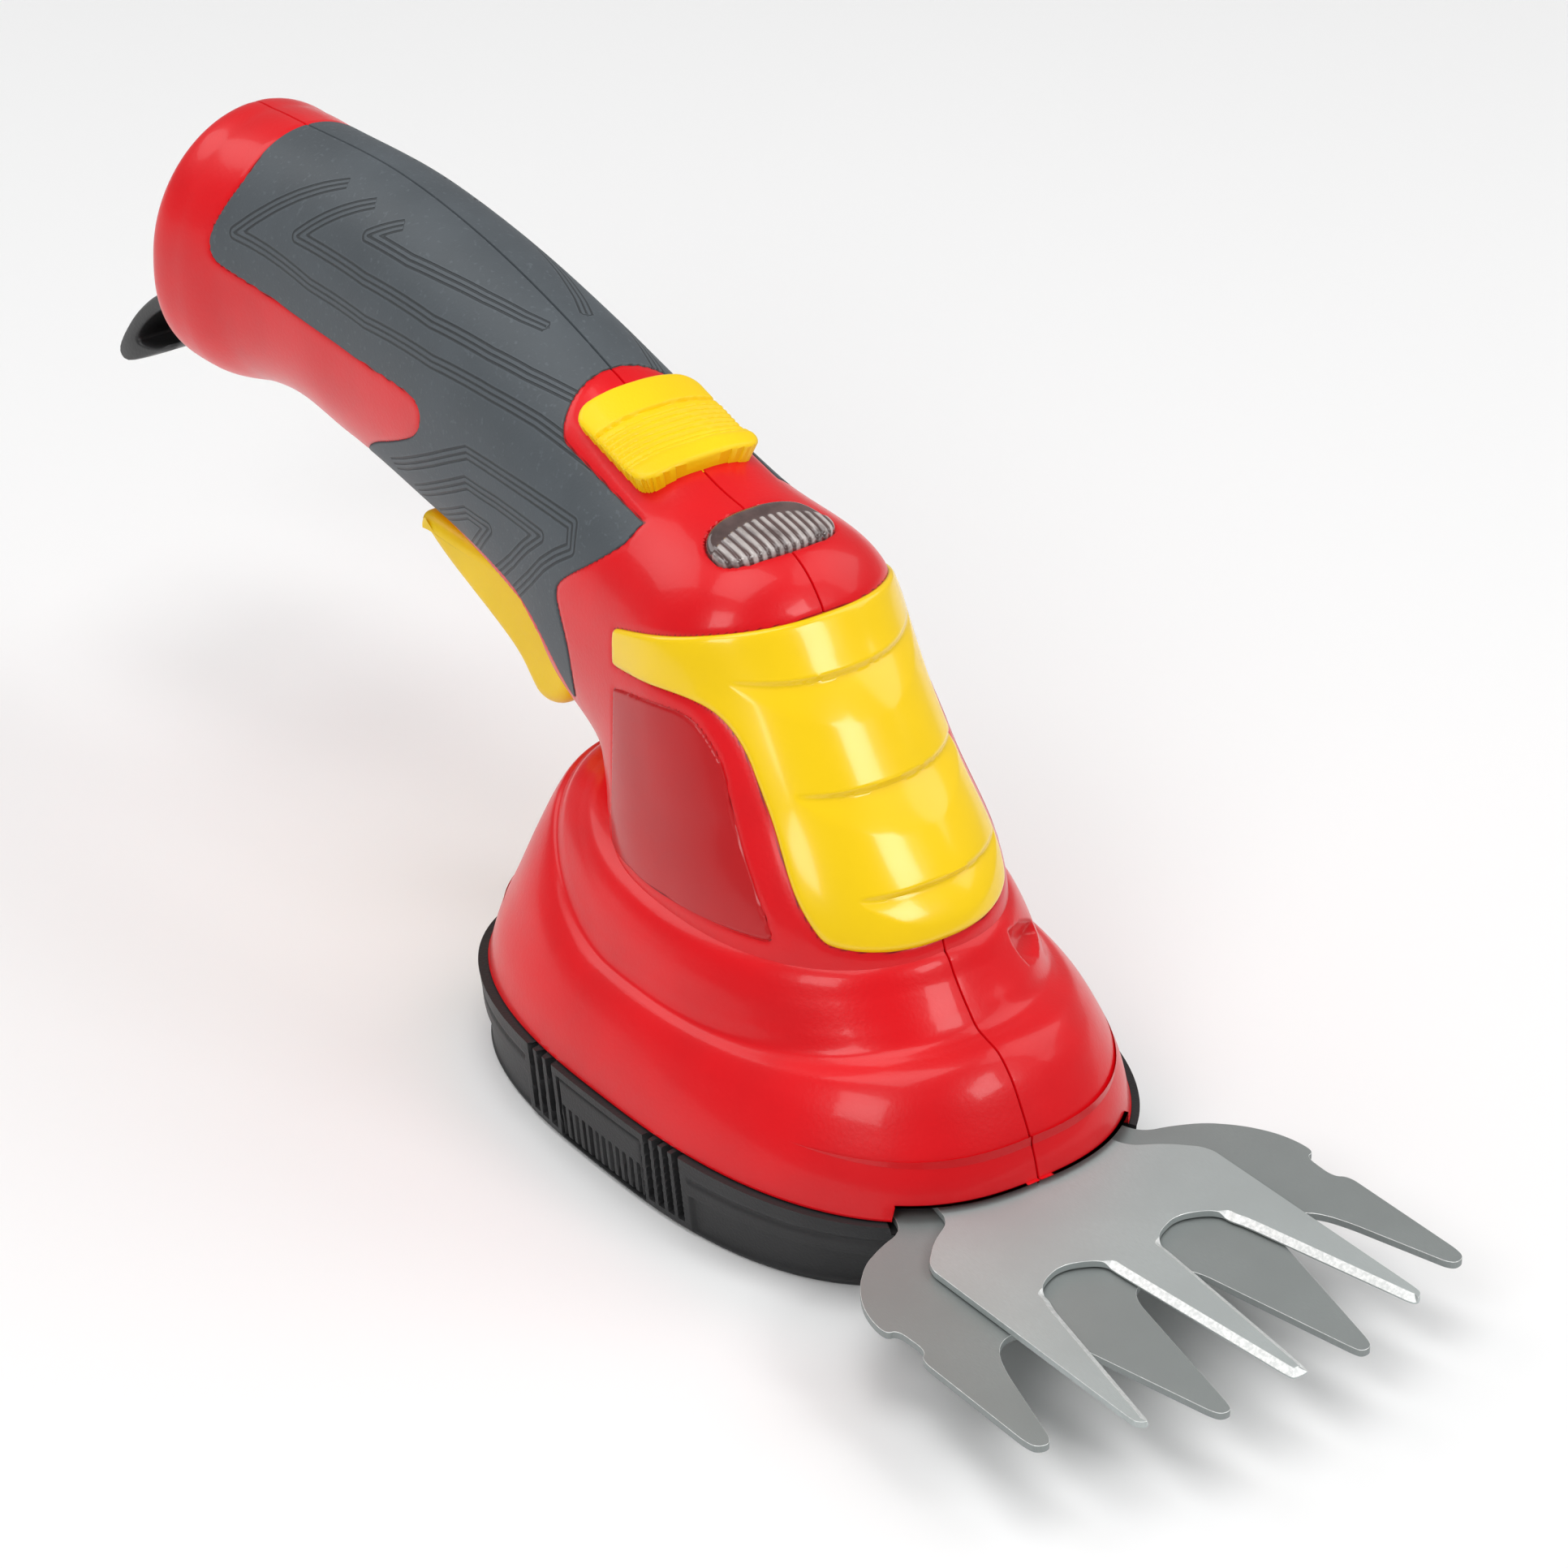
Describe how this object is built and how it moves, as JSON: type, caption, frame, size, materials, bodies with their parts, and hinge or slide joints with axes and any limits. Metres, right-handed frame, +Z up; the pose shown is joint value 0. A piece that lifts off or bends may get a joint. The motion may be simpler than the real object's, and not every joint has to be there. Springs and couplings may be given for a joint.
{
  "type": "grass shears",
  "caption": "Cordless hand shears for grass edges: red two-shell housing, grey soft grips, yellow front cover, black base and a toothed blade pair",
  "frame": {"origin": "on the flat underside of the base, in the plane where the two shells meet, under the middle of the head", "axes": "+X towards the blade tips, +Y to the left across the tool, +Z up away from the ground"},
  "size_m": [0.3129, 0.0814, 0.12],
  "materials": {
    "red_plastic": "moulded red plastic with a soft sheen",
    "soft_grip": "matt dark grey soft moulding",
    "yellow_plastic": "glossy yellow plastic",
    "label_film": "plain dark red film",
    "lens_plastic": "smoky clear plastic",
    "black_plastic": "fine-grained black plastic",
    "bright_steel": "plain zinc-plated steel",
    "brass": "plain brass",
    "blade_steel": "pressed steel with ground edges",
    "white_plastic": "natural nylon",
    "cell_wrap": "shrink-wrapped cell",
    "circuit_green": "green board",
    "led_green": "tinted light"
  },
  "bodies": {
    "housing": {"housing_right": "red_plastic", "housing_left": "red_plastic", "grip_right": "soft_grip", "grip_left": "soft_grip", "front_cover": "yellow_plastic", "label_right": "label_film", "label_left": "label_film", "indicator_lens": "lens_plastic", "base_cover": "black_plastic", "hanger_loop": "black_plastic", "charge_socket": "black_plastic", "blade_holder": "black_plastic", "motor_end_cap": "black_plastic", "gear_plate": "black_plastic", "battery_cradle_rear": "black_plastic", "battery_cradle_front": "black_plastic", "switch_bracket": "black_plastic", "main_switch": "black_plastic", "housing_screw_rear": "bright_steel", "housing_screw_grip": "bright_steel", "housing_screw_neck": "bright_steel", "housing_screw_front": "bright_steel", "housing_screw_tail": "bright_steel", "base_screw_front": "bright_steel", "base_screw_rear": "bright_steel", "pivot_bolt": "bright_steel", "pivot_nut": "bright_steel", "blade_screw_left": "bright_steel", "blade_screw_right": "bright_steel", "crank_axle": "bright_steel", "middle_axle": "bright_steel", "motor_can": "bright_steel", "motor_screw_right": "bright_steel", "motor_screw_left": "bright_steel", "trigger_pin": "bright_steel", "pivot_washer": "brass", "charge_pin": "brass", "battery_contact_rear": "brass", "battery_contact_front": "brass", "lower_blade": "blade_steel", "battery_cell_upper": "cell_wrap", "battery_cell_lower": "cell_wrap", "circuit_board": "circuit_green", "indicator_light": "led_green"},
    "blade": {"upper_blade": "blade_steel", "drive_yoke": "black_plastic"},
    "crank": {"crank_gear": "white_plastic", "crank_pin": "bright_steel"},
    "middle": {"middle_gear": "white_plastic"},
    "rotor": {"motor_shaft": "bright_steel", "motor_pinion": "brass"},
    "trigger": {"trigger": "yellow_plastic"},
    "slider": {"lock_slider": "yellow_plastic", "lock_bar": "black_plastic"},
    "button_right": {"release_button_right": "black_plastic"},
    "button_left": {"release_button_left": "black_plastic"}
  },
  "joints": [
    {"name": "blade_swing", "type": "hinge", "parent": "housing", "child": "blade", "pos_m": [0.04, 0, 0.015], "axis": [0, 0, 1], "range_deg": [-6.6, 5.6]},
    {"name": "crank_spin", "type": "hinge", "parent": "housing", "child": "crank", "pos_m": [0.01, 0, 0.022], "axis": [0, 0, 1], "continuous": true},
    {"name": "middle_spin", "type": "hinge", "parent": "housing", "child": "middle", "pos_m": [-0.00345, 0.01256, 0.025], "axis": [0, 0, 1], "continuous": true},
    {"name": "motor_spin", "type": "hinge", "parent": "housing", "child": "rotor", "pos_m": [-0.014, 0, 0.045], "axis": [0, 0, 1], "continuous": true},
    {"name": "trigger_pull", "type": "hinge", "parent": "housing", "child": "trigger", "pos_m": [-0.076, 0, 0.0765], "axis": [0, -1, 0], "range_deg": [0, 3], "stiffness_Nm_per_rad": 0.5, "springref_deg": -2.86},
    {"name": "slider_push", "type": "slide", "parent": "housing", "child": "slider", "axis": [0.9545, 0, -0.2983], "range_m": [0, 0.004], "stiffness_N_per_m": 150, "springref_m": -0.002},
    {"name": "button_right_press", "type": "slide", "parent": "housing", "child": "button_right", "axis": [0, 1, 0], "range_m": [0, 0.002], "stiffness_N_per_m": 300, "springref_m": -0.001},
    {"name": "button_left_press", "type": "slide", "parent": "housing", "child": "button_left", "axis": [0, -1, 0], "range_m": [0, 0.002], "stiffness_N_per_m": 300, "springref_m": -0.001}
  ],
  "couplings": [
    {"joint": "middle_spin", "follows": "crank_spin", "ratio": -3.6},
    {"joint": "motor_spin", "follows": "crank_spin", "ratio": 12.8}
  ]
}
